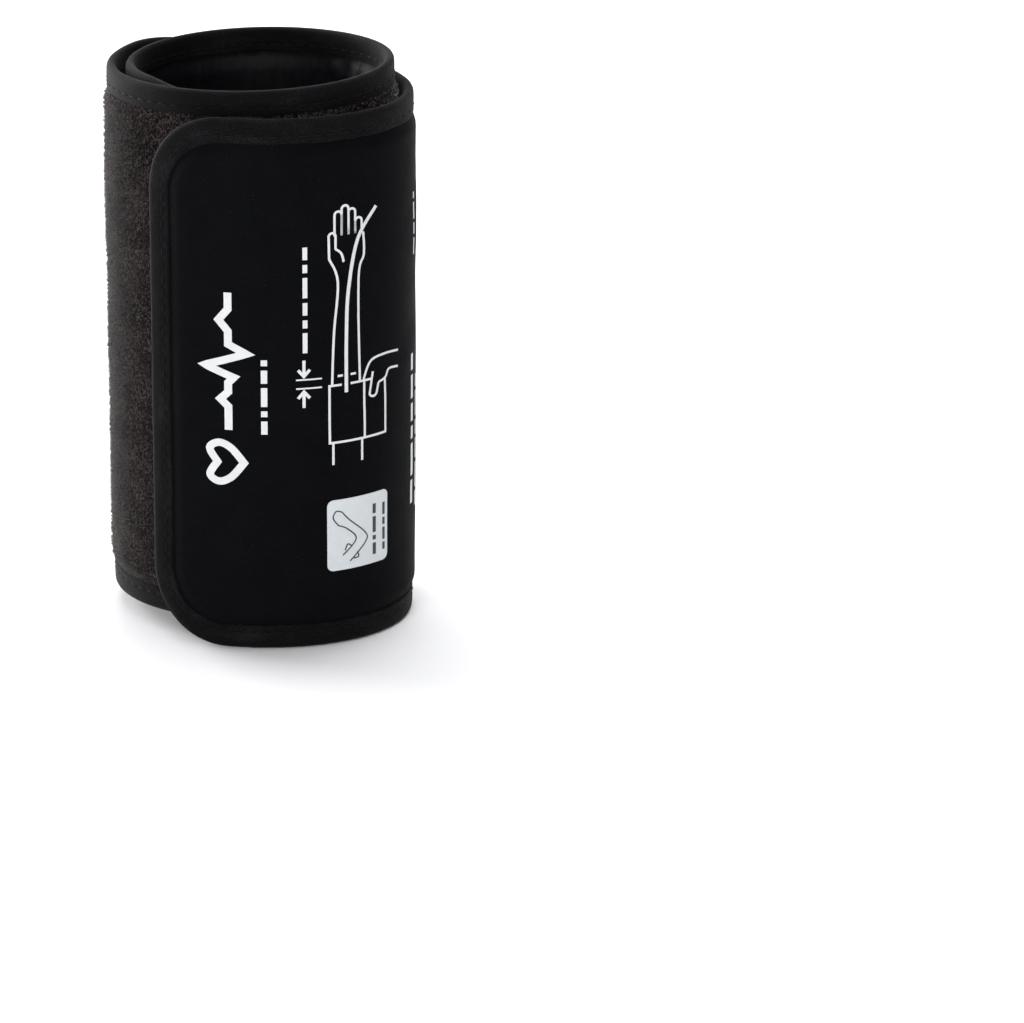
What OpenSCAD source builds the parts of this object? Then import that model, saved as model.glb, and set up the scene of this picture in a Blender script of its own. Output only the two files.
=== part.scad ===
// Upper-arm blood pressure cuff, rolled up and standing on its long edge.
// One strip is wound a little over two turns: lining, bladder, curler,
// outer cloth and edge binding are separate sewn-up pieces.
// Flat-strip directions: s runs along the strip from the inner end,
// z is height across the strip, n points outward through its thickness.

/* [Strip] */
// Height of the strip, edge to edge
cuff_height = 145; // [120:1:170]
// Length of the strip along the wrap
strip_length = 486; // [420:1:540]
// Corner radius of the flap tip
flap_corner = 21; // [8:1:30]
// Corner radius of the inner end
inner_corner = 12; // [6:1:20]

/* [Wrap] */
// Mean bend radius at the inner end
coil_radius = 28.4; // [26:0.1:40]
// Bend radius gained in each full turn
turn_growth = 5; // [4.6:0.1:8]
// Difference between long and short bend radius, halved
ovalness = 9.5; // [0:0.1:10]
// Turn of the oval about the vertical
oval_tilt = 14.5; // [-45:0.5:45]
// Direction the inner end faces
start_angle = 324; // [300:1:340]
// Mean height of the inner turns above the base
coil_lift = 6.5; // [5:0.1:9]
// Rise and fall of the inner turns about that height
lift_swing = 2.2; // [0:0.1:2.5]
// How far the hidden inner end sits lower than its neighbour
end_drop = 4; // [0:0.1:4]

/* [Layers] */
// Half the wall thickness in the middle of the strip
wall_half = 2; // [1.8:0.05:2.1]
// Thickness of the lining
lining_t = 0.4; // [0.3:0.05:0.5]
// Thickness of the outer cloth in the middle of the strip
cloth_t = 1.05; // [0.8:0.05:1.1]
// Thickness of the curler sheet
curler_t = 1; // [0.6:0.05:1]
// Thickness of one bladder sheet
bladder_t = 0.3; // [0.2:0.05:0.4]
// Space between neighbouring layers
layer_gap = 0.1; // [0.05:0.01:0.15]

/* [Edge binding] */
// Half the thickness of the bound edge
binding_half = 1.35; // [1.2:0.05:1.5]
// Thickness of the binding tape
binding_t = 0.6; // [0.4:0.05:0.7]
// Width of the tape on each face
binding_w = 6.5; // [5:0.1:8]
// Offset of cloth and lining where the tape grips them
grip_n = 0.55; // [0.5:0.01:0.6]

/* [Bladder and curler] */
// Distance from the strip edge to the bladder
bladder_margin = 15; // [13:1:20]
// Width of the welded edge of the bladder
weld_w = 3; // [2:0.5:5]
// Distance from the strip edge to the curler
curler_margin = 16; // [15.5:0.5:20]

/* [Hook tape, label and port] */
// Distance from the strip edge to the hook tape
hook_margin = 10; // [9:1:20]
// Distance from the flap's end to the hook tape
hook_end = 8; // [7.5:0.5:12]
// Thickness of the hook tape base
hook_base = 0.5; // [0.4:0.05:0.7]
// Height of the hooks
hook_pile = 1.2; // [0.8:0.05:1.3]
// Height of the size label
label_height = 20; // [15:1:30]
// Centre of the size label above the flap edge
label_z = 32.5; // [25:0.5:60]
// Outer radius of the air port's moulded boot
port_r = 2.1; // [2:0.05:2.2]
// Outer radius of the stub that the air tube pushes onto
stub_r = 1.9; // [1.7:0.05:2]
// Bore radius of the air port
port_bore = 1.25; // [0.8:0.05:1.4]
// Length of the air port below the strip edge
port_out = 6; // [4:0.5:6]
// Length of the air port boot above the strip edge
port_in = 14.9; // [10:0.1:14.9]

/* [Hidden] */
$fn = 48;

panel_count = 9;
panel = strip_length / panel_count;
// Facets along one panel, and along the rounded end zones
segs = 12;
// Gap between two hinged panels
panel_gap = 0.4;
// Inset of the sewn layers from the bare edge
inset = 1;
steps = panel_count * segs;
step = strip_length / steps;
eps = 0.01;

col_lining = [0.05, 0.05, 0.06];
col_loop = [0.24, 0.22, 0.21];
col_print = [0.06, 0.06, 0.08];
col_binding = [0.12, 0.12, 0.13];
col_bladder = [0.3, 0.3, 0.32];
col_curler = [0.85, 0.86, 0.88];
col_hook = [0.1, 0.1, 0.11];
col_label = [0.8, 0.81, 0.82];
col_port = [0.2, 0.2, 0.22];

// ---- wrap path -------------------------------------------------------

// Bend radius where the strip faces angle a, after it has turned by w
function bend(a, w) =
  coil_radius + turn_growth * w / 360 - ovalness * cos(2 * (a + oval_tilt));

// Stations [x, y, facing angle] one step apart along the strip
raw_path = [
  for (
    i = 0, x = 0, y = 0, a = start_angle, w = 0,
    d = deg_of(step / bend(start_angle, 0));
    i <= steps;
    x = x + step * cos(a - 90 - d / 2),
    y = y + step * sin(a - 90 - d / 2),
    a = a - d,
    w = w + d,
    d = deg_of(step / bend(a, w)),
    i = i + 1
  ) [x, y, a]
];
function deg_of(rad) = rad * 180 / PI;

// Middle of the rolled cuff in plan, taken over its outermost faces
outer_x = [for (p = raw_path) p[0] + wall_half * cos(p[2])];
outer_y = [for (p = raw_path) p[1] + wall_half * sin(p[2])];
mid_x = (min(outer_x) + max(outer_x)) / 2;
mid_y = (min(outer_y) + max(outer_y)) / 2;

// Station at any distance s along the strip
function station(s) =
  let (
    u = min(max(s, 0), strip_length) / step,
    i = min(floor(u), steps - 1),
    f = u - i,
    p = raw_path[i] * (1 - f) + raw_path[i + 1] * f
  ) [p[0] - mid_x, p[1] - mid_y, p[2]];

function ease(x) = let (t = min(max(x, 0), 1)) t * t * (3 - 2 * t);

// Height of the strip's lower edge where it faces angle a
function lift_at(a) =
  (coil_lift + lift_swing * cos(a - 10)
    - end_drop * ease((a - 214) / 46))
  * (1 - ease((-215 - a) / 70));

// Flat-strip point (s, z, n) on the rolled cuff
function place(s, z, n) =
  let (p = station(s))
  [p[0] + n * cos(p[2]), p[1] + n * sin(p[2]), z + lift_at(p[2])];

// ---- strip outline -----------------------------------------------------

// Height of the outline above the lower edge, for an outline inset by m
function edge_z(s, m) =
  let (
    e0 = s,
    e1 = strip_length - s,
    c0 = e0 >= inner_corner ? m : inner_corner
      - sqrt(max(pow(inner_corner - m, 2) - pow(inner_corner - e0, 2), 0)),
    c1 = e1 >= flap_corner ? m : flap_corner
      - sqrt(max(pow(flap_corner - m, 2) - pow(flap_corner - e1, 2), 0))
  ) max(c0, c1);

// Distance from a point of the flat strip to its edge, round its corners too
function corner_dist(e, b, r) = e < r && b < r ? r - norm([r - e, r - b]) : min(e, b);
function edge_dist(s, z) =
  let (b = min(z, cuff_height - z))
  min(corner_dist(s, b, inner_corner), corner_dist(strip_length - s, b, flap_corner));

function ramp(d, d0, d1, v0, v1) =
  v0 + (v1 - v0) * min(max((d - d0) / (d1 - d0), 0), 1);

// Faces of the cloth and lining at distance d from the strip's edge
bound = binding_w + 0.3;
// Lengths over which cloth and lining rise to their full offsets
cloth_rise = 2.4;
lining_rise = 5.2;
// Offset of the lining on the flap
flap_lining = 0.7;
function cloth_out(d) = ramp(d, bound, bound + cloth_rise, grip_n, wall_half);
// flat = 1 on the flap, where nothing lies between lining and cloth
function cloth_in(d, flat) =
  ramp(
    d, bound, bound + cloth_rise,
    0.1, (wall_half - cloth_t) * (1 - flat) - 0.1 * flat
  );
function lining_out(d, flat) =
  ramp(
    d, bound, bound + lining_rise,
    -grip_n, -flap_lining - (wall_half - flap_lining) * (1 - flat)
  );
function lining_in(d, flat) = lining_out(d, flat) + lining_t;
function flap_flat(s) = ease((s - 6 * panel) / panel);

// ---- swept solids --------------------------------------------------------

function flat_list(v) = [for (a = v) for (b = a) b];
function backwards(v) = [for (i = [len(v) - 1 : -1 : 0]) v[i]];

// Closed skin over rings of points; every ring has the same count.
// Point j of a ring lies opposite the point j places from its end, and the
// end caps are strips of quads between such pairs.
module skin(rings) {
  m = len(rings[0]);
  k = len(rings);
  last = (k - 1) * m;
  sides = [
    for (i = [0 : k - 2]) for (j = [0 : m - 1])
      let (
        j2 = (j + 1) % m,
        a = i * m + j,
        b = i * m + j2,
        c = a + m,
        d = b + m
      ) each [[a, d, b], [a, c, d]]
  ];
  cap = [for (j = [0 : m / 2 - 2]) [j, j + 1, m - 2 - j, m - 1 - j]];
  far_cap = [for (f = backwards(cap)) [for (v = backwards(f)) v + last]];
  polyhedron(flat_list(rings), concat(sides, cap, far_cap));
}

// Distances along the strip from panel p0 to the end of panel p1
function stops(p0, p1) =
  let (
    a = p0 * panel + (p0 > 0 ? panel_gap / 2 : inset),
    b = (p1 + 1) * panel - (p1 < panel_count - 1 ? panel_gap / 2 : inset),
    inner = [
      for (i = [p0 * segs + 1 : (p1 + 1) * segs - 1]) i * step
    ]
  ) concat([a], inner, [b]);

// Strip distances crowded towards a rounded end
function tip_stops(s) =
  let (
    near0 = [for (e = [2, 6.8, 9.2]) if (s[0] < inset + eps) e],
    near1 = [
      for (e = [14, 9.2, 6.8, 4, 2])
        if (s[len(s) - 1] > strip_length - inset - eps) strip_length - e
    ],
    cut0 = len(near0) > 0 ? 9.2 + 1 : -1,
    cut1 = len(near1) > 0 ? strip_length - 14 - 1 : strip_length + 1,
    body = [for (v = s) if (v > cut0 && v < cut1) v]
  ) concat(
    len(near0) > 0 ? [s[0]] : [], near0,
    body,
    near1, len(near1) > 0 ? [s[len(s) - 1]] : []
  );

// Heights above the outline where a sewn layer changes offset
cloth_steps = [0, bound - inset, bound + cloth_rise - inset];
lining_steps = [0, bound - inset, bound + lining_rise - inset];

// Ring round one layer at s, at heights zs above its outline and mirrored;
// outs and ins are its two faces at those heights
function layer_ring(s, zs, outs, ins) =
  let (z0 = edge_z(s, inset), z1 = cuff_height - z0, k = len(zs)) concat(
    [for (i = [0 : k - 1]) place(s, z0 + zs[i], outs[i])],
    [for (i = [k - 1 : -1 : 0]) place(s, z1 - zs[i], outs[i])],
    [for (i = [0 : k - 1]) place(s, z1 - zs[i], ins[i])],
    [for (i = [k - 1 : -1 : 0]) place(s, z0 + zs[i], ins[i])]
  );

// Edge distances of the lower half of a ring
function depths(s, zs) = [for (z = zs) edge_dist(s, edge_z(s, inset) + z)];

module cloth_layer(p0, p1) {
  skin([
    for (s = tip_stops(stops(p0, p1)))
      let (f = flap_flat(s), ds = depths(s, cloth_steps))
      layer_ring(
        s, cloth_steps,
        [for (d = ds) cloth_out(d)],
        [for (d = ds) cloth_in(d, f)]
      )
  ]);
}

module lining_layer(p0, p1) {
  skin([
    for (s = tip_stops(stops(p0, p1)))
      let (f = flap_flat(s), ds = depths(s, lining_steps))
      layer_ring(
        s, lining_steps,
        [for (d = ds) lining_in(d, f)],
        [for (d = ds) lining_out(d, f)]
      )
  ]);
}

// Cross-section of the binding tape, [depth from the edge, n]: round the
// outside first, then back along the inside opposite each outer point
fold = binding_half - binding_t;
tape = [
  [binding_w, binding_half], [0.45, binding_half],
  [0, binding_half - 0.5], [0, 0.5 - binding_half],
  [0.45, -binding_half], [binding_w, -binding_half],
  [binding_w, -fold], [0.7, -fold],
  [0.75, -fold / 3], [0.75, fold / 3],
  [0.7, fold], [binding_w, fold]
];

// Ring of the tape at an edge point; in_s, in_z point into the strip
function tape_ring(s, z, in_s, in_z) =
  [for (q = tape) place(s + in_s * q[0], z + in_z * q[0], q[1])];

// Straight tape along the lower (side = 1) or upper (side = -1) edge
function edge_rings(stops_s, side) = [
  for (s = stops_s) tape_ring(s, side > 0 ? 0 : cuff_height, 0, side)
];

module edge_tape(stops_s, side) {
  rings = edge_rings(stops_s, side);
  skin(side > 0 ? backwards(rings) : rings);
}

// Rings round a quarter corner of radius r centred at (cs, cz)
function corner_rings(cs, cz, r, from, to, n) = [
  for (i = [0 : n])
    let (t = from + (to - from) * i / n)
    tape_ring(cs + r * cos(t), cz + r * sin(t), -cos(t), -sin(t))
];

// Plain slab between two offsets and two heights
function box_ring(s, z0, z1, n0, n1) = [
  place(s, z0, n1), place(s, z1, n1), place(s, z1, n0), place(s, z0, n0)
];

module slab(stops_s, z0, z1, n0, n1) {
  skin([for (s = stops_s) box_ring(s, z0, z1, n0, n1)]);
}

// ---- bladder: two sheets welded round the edge --------------------------

bladder_out = wall_half - cloth_t - layer_gap - curler_t - layer_gap;
bladder_in = lining_t + layer_gap - wall_half;

module bladder_bag(stops_s, closed_start, closed_end) {
  z0 = bladder_margin;
  z1 = cuff_height - bladder_margin;
  k = len(stops_s);
  shell = [
    for (s = stops_s) box_ring(s, z0, z1, bladder_in, bladder_out)
  ];
  i0 = closed_start ? 1 : 0;
  i1 = closed_end ? k - 2 : k - 1;
  hollow = [
    for (i = [i0 : i1])
      box_ring(
        stops_s[i], z0 + weld_w, z1 - weld_w,
        bladder_in + bladder_t, bladder_out - bladder_t
      )
  ];
  h = len(hollow);
  b = 4 * k;
  out_sides = [
    for (i = [0 : k - 2]) for (j = [0 : 3])
      let (j2 = (j + 1) % 4, a = 4 * i + j, c = 4 * i + j2)
      each [[a, c + 4, c], [a, a + 4, c + 4]]
  ];
  in_sides = [
    for (i = [0 : h - 2]) for (j = [0 : 3])
      let (j2 = (j + 1) % 4, a = b + 4 * i + j, c = b + 4 * i + j2)
      each [[a, c, c + 4], [a, c + 4, a + 4]]
  ];
  e = 4 * (k - 1);
  g = b + 4 * (h - 1);
  start_cap = closed_start
    ? [[0, 1, 2, 3], [b + 3, b + 2, b + 1, b]]
    : [for (j = [0 : 3]) let (q = (j + 1) % 4) [j, q, b + q, b + j]];
  end_cap = closed_end
    ? [[e + 3, e + 2, e + 1, e], [g, g + 1, g + 2, g + 3]]
    : [for (j = [0 : 3]) let (q = (j + 1) % 4) [e + q, e + j, g + j, g + q]];
  polyhedron(
    concat(flat_list(shell), flat_list(hollow)),
    concat(out_sides, in_sides, start_cap, end_cap)
  );
}

// ---- air port -------------------------------------------------------------

// Port position along the strip, in the front wall of the first turn
port_s = 3 * panel + 9 * step;
port_at = place(port_s, 0, 0);
// Length of the tapered lead-in of the stub
stub_lead = 1.2;

module port_clearance(extra) {
  translate([port_at[0], port_at[1], port_at[2] - port_out - 1])
    cylinder(r = port_r + extra, h = port_out + 1 + port_in + extra);
}

module port_body() {
  translate([port_at[0], port_at[1], port_at[2] - port_out])
    difference() {
      union() {
        translate([0, 0, port_out])
          cylinder(r = port_r, h = port_in);
        translate([0, 0, stub_lead])
          cylinder(r = stub_r, h = port_out - stub_lead);
        cylinder(r1 = stub_r - 0.35, r2 = stub_r, h = stub_lead);
      }
      translate([0, 0, -1])
        cylinder(r = port_bore, h = port_out + port_in + 2);
    }
}

// Way through the bladder's weld, in line with the bore
module port_inlet() {
  mid_n = (bladder_in + bladder_out) / 2;
  at = place(port_s, bladder_margin - 0.5, mid_n);
  translate(at)
    cylinder(r = 0.4, h = weld_w + 1);
}

// ---- nodes --------------------------------------------------------------

coil_stops = stops(0, 3);
// The tape round the inner end meets the long tapes here
end_seam = 4 * step;
past_seam = [for (s = coil_stops) if (s > end_seam - eps) s];
port_gap = port_r + 0.35;
before_port = concat(
  [for (s = past_seam) if (s < port_s - port_gap - 0.5) s],
  [port_s - port_gap]
);
after_port = concat(
  [port_s + port_gap],
  [for (s = past_seam) if (s > port_s + port_gap + 0.5) s]
);
before_tip = [for (s = stops(8, 8)) if (s < strip_length - flap_corner - 1) s];

module lining_coil() {
  color(col_lining)
    difference() {
      lining_layer(0, 3);
      port_clearance(layer_gap);
    }
}
module lining_b() { color(col_lining) lining_layer(4, 4); }
module lining_c() { color(col_lining) lining_layer(5, 5); }
module lining_d() { color(col_lining) lining_layer(6, 6); }
module lining_e() { color(col_lining) lining_layer(7, 7); }
module lining_tip() { color(col_lining) lining_layer(8, 8); }

module loop_cloth_coil() {
  color(col_loop)
    difference() {
      cloth_layer(0, 3);
      port_clearance(layer_gap);
    }
}
module loop_cloth_b() { color(col_loop) cloth_layer(4, 4); }
module loop_cloth_c() { color(col_loop) cloth_layer(5, 5); }

module print_panel_d() { color(col_print) cloth_layer(6, 6); }
module print_panel_e() { color(col_print) cloth_layer(7, 7); }
module print_panel_tip() { color(col_print) cloth_layer(8, 8); }

// Tape round the inner end
module end_binding() {
  r = inner_corner;
  color(col_binding)
    skin(concat(
      edge_rings([end_seam, end_seam - step], 1),
      corner_rings(r, r, r, -90, -180, 6),
      corner_rings(r, cuff_height - r, r, -180, -270, 6),
      edge_rings([end_seam - step, end_seam], -1)
    ));
}

// Lower tape of the first turn, open where the air port leaves
module lower_binding() {
  color(col_binding) {
    edge_tape(before_port, 1);
    edge_tape(after_port, 1);
  }
}

module upper_binding() { color(col_binding) edge_tape(past_seam, -1); }

module binding_pair(p) {
  color(col_binding) {
    edge_tape(stops(p, p), 1);
    edge_tape(stops(p, p), -1);
  }
}
module binding_b() { binding_pair(4); }
module binding_c() { binding_pair(5); }
module binding_d() { binding_pair(6); }
module binding_e() { binding_pair(7); }

// Tape out along the lower edge, round the flap tip and back
module binding_tip() {
  r = flap_corner;
  cs = strip_length - r;
  color(col_binding)
    skin(backwards(concat(
      edge_rings(before_tip, 1),
      corner_rings(cs, r, r, -90, 0, 7),
      corner_rings(cs, cuff_height - r, r, 0, 90, 7),
      edge_rings(backwards(before_tip), -1)
    )));
}

module bladder_coil() {
  color(col_bladder)
    difference() {
      bladder_bag([for (s = coil_stops) if (s > 3 * step - eps) s], true, false);
      port_inlet();
    }
}
module bladder_b() {
  color(col_bladder)
    bladder_bag([for (s = stops(4, 4)) if (s < 4 * panel + 8.5 * step) s], false, true);
}

module curler_sheet(stops_s) {
  n0 = bladder_out + layer_gap;
  color(col_curler)
    slab(stops_s, curler_margin, cuff_height - curler_margin, n0, n0 + curler_t);
}
module curler_coil() {
  curler_sheet([for (s = coil_stops) if (s > 2.5 * step) s]);
}
module curler_b() { curler_sheet(stops(4, 4)); }
module curler_c() {
  curler_sheet([for (s = stops(5, 5)) if (s < 5 * panel + 8.5 * step) s]);
}

// Hook tape inside the flap tip: sewn base, with the hooks as one pile
module hook_tape() {
  run = [
    for (s = stops(8, 8)) if (s > 8 * panel + 3 && s < strip_length - hook_end) s
  ];
  top = -0.75;
  root = top - hook_base;
  peak = root - hook_pile;
  color(col_hook)
    skin([
      for (s = run)
        let (z0 = max(hook_margin, edge_z(s, hook_end)), z1 = cuff_height - z0) [
          place(s, z0, top), place(s, z0 + 2, top),
          place(s, z1 - 2, top), place(s, z1, top),
          place(s, z1, root), place(s, z1 - 2, peak),
          place(s, z0 + 2, peak), place(s, z0, root)
        ]
    ]);
}

module size_label() {
  run = [for (s = stops(7, 7)) if (s > 7 * panel + 7.5 * step) s];
  half = label_height / 2;
  color(col_label)
    slab(run, label_z - half, label_z + half, wall_half + 0.02, wall_half + 0.22);
}

module air_port() { color(col_port) port_body(); }

lining_coil();
lining_b();
lining_c();
lining_d();
lining_e();
lining_tip();
loop_cloth_coil();
loop_cloth_b();
loop_cloth_c();
print_panel_d();
print_panel_e();
print_panel_tip();
end_binding();
lower_binding();
upper_binding();
binding_b();
binding_c();
binding_d();
binding_e();
binding_tip();
bladder_coil();
bladder_b();
curler_coil();
curler_b();
curler_c();
hook_tape();
size_label();
air_port();
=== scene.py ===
import math

import bpy
import numpy as np
from mathutils import Matrix


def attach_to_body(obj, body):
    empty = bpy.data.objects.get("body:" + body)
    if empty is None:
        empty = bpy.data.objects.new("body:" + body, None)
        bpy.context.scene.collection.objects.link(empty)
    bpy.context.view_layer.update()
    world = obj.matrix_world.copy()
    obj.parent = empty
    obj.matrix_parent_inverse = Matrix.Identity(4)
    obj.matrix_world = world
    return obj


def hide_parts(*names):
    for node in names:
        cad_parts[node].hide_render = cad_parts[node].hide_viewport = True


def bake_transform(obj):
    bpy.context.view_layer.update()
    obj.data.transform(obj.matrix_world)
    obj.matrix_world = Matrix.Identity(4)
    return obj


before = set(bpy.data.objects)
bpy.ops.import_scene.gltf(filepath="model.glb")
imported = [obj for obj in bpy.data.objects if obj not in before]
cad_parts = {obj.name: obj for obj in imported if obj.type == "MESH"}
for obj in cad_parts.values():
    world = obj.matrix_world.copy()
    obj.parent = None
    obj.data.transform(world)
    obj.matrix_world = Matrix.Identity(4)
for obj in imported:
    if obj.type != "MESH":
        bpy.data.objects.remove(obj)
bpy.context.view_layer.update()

MM = 0.001

# ---- Strip and wrap: the same driving dimensions as the CAD, in millimetres ----

HEIGHT = 145.0
LENGTH = 486.0
FLAP_CORNER = 21.0
INNER_CORNER = 12.0
COIL_RADIUS = 28.4
TURN_GROWTH = 5.0
OVALNESS = 9.5
OVAL_TILT = 14.5
START_ANGLE = 324.0
# How far the inner turns stand above the flap, in millimetres, and where they come down
COIL_LIFT = 6.5
LIFT_SWING = 2.2
SWING_PEAK_ANGLE = 10.0
END_DROP = 4.0
DROP_FROM_ANGLE = 214.0
DROP_OVER = 46.0
SETTLE_ANGLE = -215.0
SETTLE_OVER = 70.0
PANEL = 54.0
PATH_STEP = 4.5
WALL_HALF = 2.0
CLOTH_T = 1.05
LINING_T = 0.4
BINDING_HALF = 1.35
BINDING_T = 0.6
BINDING_W = 6.5
PORT_S = 3 * PANEL + 9 * PATH_STEP
PRINT_START = 6 * PANEL

# Widest gap between neighbouring points of a layer's mesh
GRID = 1.2
# How far inside the strip's edge the layers end, under the binding
INSET = 1.0
# Start of every random draw
SEED = 7


def bend_radius(angle, turned):
    """Radius of the wrap where the strip faces angle, after turning by turned degrees."""
    oval = OVALNESS * math.cos(math.radians(2 * (angle + OVAL_TILT)))
    return COIL_RADIUS + TURN_GROWTH * turned / 360 - oval


def wrap_path():
    """Stations (x, y, facing angle) one path step apart, centred on the rolled cuff."""
    x = y = turned = 0.0
    angle = START_ANGLE
    stations = []
    for _ in range(round(LENGTH / PATH_STEP) + 1):
        stations.append((x, y, angle))
        turn = math.degrees(PATH_STEP / bend_radius(angle, turned))
        heading = math.radians(angle - 90 - turn / 2)
        x += PATH_STEP * math.cos(heading)
        y += PATH_STEP * math.sin(heading)
        angle -= turn
        turned += turn
    path = np.array(stations)
    facing = np.radians(path[:, 2])
    outer = path[:, :2] + WALL_HALF * np.stack([np.cos(facing), np.sin(facing)], 1)
    path[:, :2] -= (outer.min(0) + outer.max(0)) / 2
    return path


PATH = wrap_path()


def ease(x):
    """Smooth change from 0, at x of 0 and less, to 1, at x of 1 and more."""
    t = np.clip(x, 0, 1)
    return t * t * (3 - 2 * t)


def station(s):
    """Smooth position and facing angle in degrees at distances s along the strip."""
    u = np.clip(np.asarray(s, float), 0, LENGTH) / PATH_STEP
    i = np.minimum(u.astype(int), len(PATH) - 2)
    t = (u - i)[..., None]
    p, q = PATH[i, :2], PATH[i + 1, :2]
    a, b = np.radians(PATH[i, 2] - 90), np.radians(PATH[i + 1, 2] - 90)
    da = np.stack([np.cos(a), np.sin(a)], -1) * PATH_STEP
    db = np.stack([np.cos(b), np.sin(b)], -1) * PATH_STEP
    xy = (
        p * (2 * t**3 - 3 * t**2 + 1)
        + da * (t**3 - 2 * t**2 + t)
        + q * (3 * t**2 - 2 * t**3)
        + db * (t**3 - t**2)
    )
    angle = PATH[i, 2] * (1 - t[..., 0]) + PATH[i + 1, 2] * t[..., 0]
    return xy, angle


def lift_at(angle):
    """Height of the strip's lower edge where it faces angle; the angle falls along the strip."""
    swing = COIL_LIFT + LIFT_SWING * np.cos(np.radians(angle - SWING_PEAK_ANGLE))
    drop = END_DROP * ease((angle - DROP_FROM_ANGLE) / DROP_OVER)
    return (swing - drop) * (1 - ease((SETTLE_ANGLE - angle) / SETTLE_OVER))


def place(s, z, n):
    """Points of the rolled cuff, in metres, from strip distances s, heights z and offsets n."""
    s, z, n = np.broadcast_arrays(*(np.asarray(v, float) for v in (s, z, n)))
    xy, angle = station(s)
    facing = np.radians(angle)
    x = xy[..., 0] + n * np.cos(facing)
    y = xy[..., 1] + n * np.sin(facing)
    return np.stack([x, y, z + lift_at(angle)], -1) * MM


def outline_z(s, inset):
    """Height of the strip's outline above its lower edge, for an outline moved in by inset."""
    s = np.asarray(s, float)
    low = np.full_like(s, inset)
    for end, corner in ((s, INNER_CORNER), (LENGTH - s, FLAP_CORNER)):
        depth = (corner - inset) ** 2 - (corner - end) ** 2
        curve = corner - np.sqrt(np.maximum(depth, 0))
        low = np.where(end < corner, np.maximum(low, curve), low)
    return low


def edge_distance(s, z):
    """Distance from points on the flat strip to its nearest edge, round its corners too."""
    s, z = np.broadcast_arrays(np.asarray(s, float), np.asarray(z, float))
    from_side = np.minimum(z, HEIGHT - z)
    distance = np.minimum(from_side, np.minimum(s, LENGTH - s))
    for end, corner in ((s, INNER_CORNER), (LENGTH - s, FLAP_CORNER)):
        a, b = corner - end, corner - from_side
        round_it = (a > 0) & (b > 0)
        distance = np.where(round_it, corner - np.hypot(a, b), distance)
    return distance


# ---- Bodies: which stretch of strip follows which body ----

BODIES = ["coil", "wall_b", "wall_c", "wall_d", "flap", "flap_tip"]
HINGES = [4 * PANEL, 5 * PANEL, 6 * PANEL, 7 * PANEL, 8 * PANEL]
# Stretches that ride on one body or bend across one hinge: (from, to, hinge number)
ZONES = [(0.0, HINGES[0] - PANEL / 2, None)]
ZONES += [(h - PANEL / 2, h + PANEL / 2, k) for k, h in enumerate(HINGES[:-1])]
ZONES.append((HINGES[-1] - PANEL / 2, LENGTH, len(HINGES) - 1))


def attach(piece, zone):
    """Puts a finished piece of the first zone on the coil's body; a piece of any other zone has its
    placement baked into its mesh.
    """
    hinge = ZONES[zone][2]
    if hinge is None:
        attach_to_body(piece, BODIES[0])
    else:
        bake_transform(piece)
    return piece


# ---- Mesh making ----


def mesh_object(name, points, faces, material, uv=None, normals=None, smooth=True):
    """A mesh in the scene; uv holds strip coordinates in mm, one pair for each point."""
    mesh = bpy.data.meshes.new(name)
    mesh.from_pydata(np.asarray(points, float).reshape(-1, 3).tolist(), [], faces)
    mesh.polygons.foreach_set("use_smooth", [smooth] * len(mesh.polygons))
    if uv is not None:
        layer = mesh.uv_layers.new(name="strip")
        loops = np.empty(len(mesh.loops), np.int32)
        mesh.loops.foreach_get("vertex_index", loops)
        layer.data.foreach_set("uv", np.asarray(uv, np.float32)[loops].ravel())
    if normals is not None:
        mesh.normals_split_custom_set_from_vertices(np.asarray(normals, float).tolist())
    mesh.materials.append(material)
    mesh.update()
    piece = bpy.data.objects.new(name, mesh)
    bpy.context.scene.collection.objects.link(piece)
    return piece


def grid_faces(rows, cols, offset=0, flip=False, wrap=False):
    """Quads over a grid of rows by cols points; wrap joins the last column to the first."""
    i = np.arange(rows - 1)[:, None]
    j = np.arange(cols if wrap else cols - 1)[None, :]
    k = (j + 1) % cols
    a, b = i * cols + j, i * cols + k
    c, d = (i + 1) * cols + k, (i + 1) * cols + j
    quad = np.stack([a, b, c, d], -1).reshape(-1, 4) + offset
    if flip:
        quad = quad[:, ::-1]
    return quad.tolist()


def layer_solid(name, front, back, uv, front_n, back_n, material):
    """A closed sheet between two grids of points."""
    rows, cols = front.shape[:2]
    count = rows * cols
    faces = grid_faces(rows, cols, 0) + grid_faces(rows, cols, count, flip=True)
    rim = (
        list(range(cols))
        + [i * cols + cols - 1 for i in range(1, rows)]
        + [(rows - 1) * cols + j for j in range(cols - 2, -1, -1)]
        + [i * cols for i in range(rows - 2, 0, -1)]
    )
    for a, b in zip(rim, rim[1:] + rim[:1]):
        faces.append([b, a, a + count, b + count])
    points = np.concatenate([front.reshape(-1, 3), back.reshape(-1, 3)])
    normals = np.concatenate([front_n.reshape(-1, 3), back_n.reshape(-1, 3)])
    coords = np.concatenate([uv.reshape(-1, 2)] * 2)
    return mesh_object(name, points, faces, material, coords, normals)


# ---- Puckers of the cloth, from a cloth simulation of the flat strip ----

RELIEF_CELL = 3.0
# Scene units that stand for a millimetre while the sheet is simulated
SIM_SCALE = 0.01
SIM_FRAMES = 24
# Share by which the sheet is larger than its seams
EXTRA_CLOTH = 0.05
START_ROUGHNESS = 0.02
SOFTENING = 6


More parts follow.
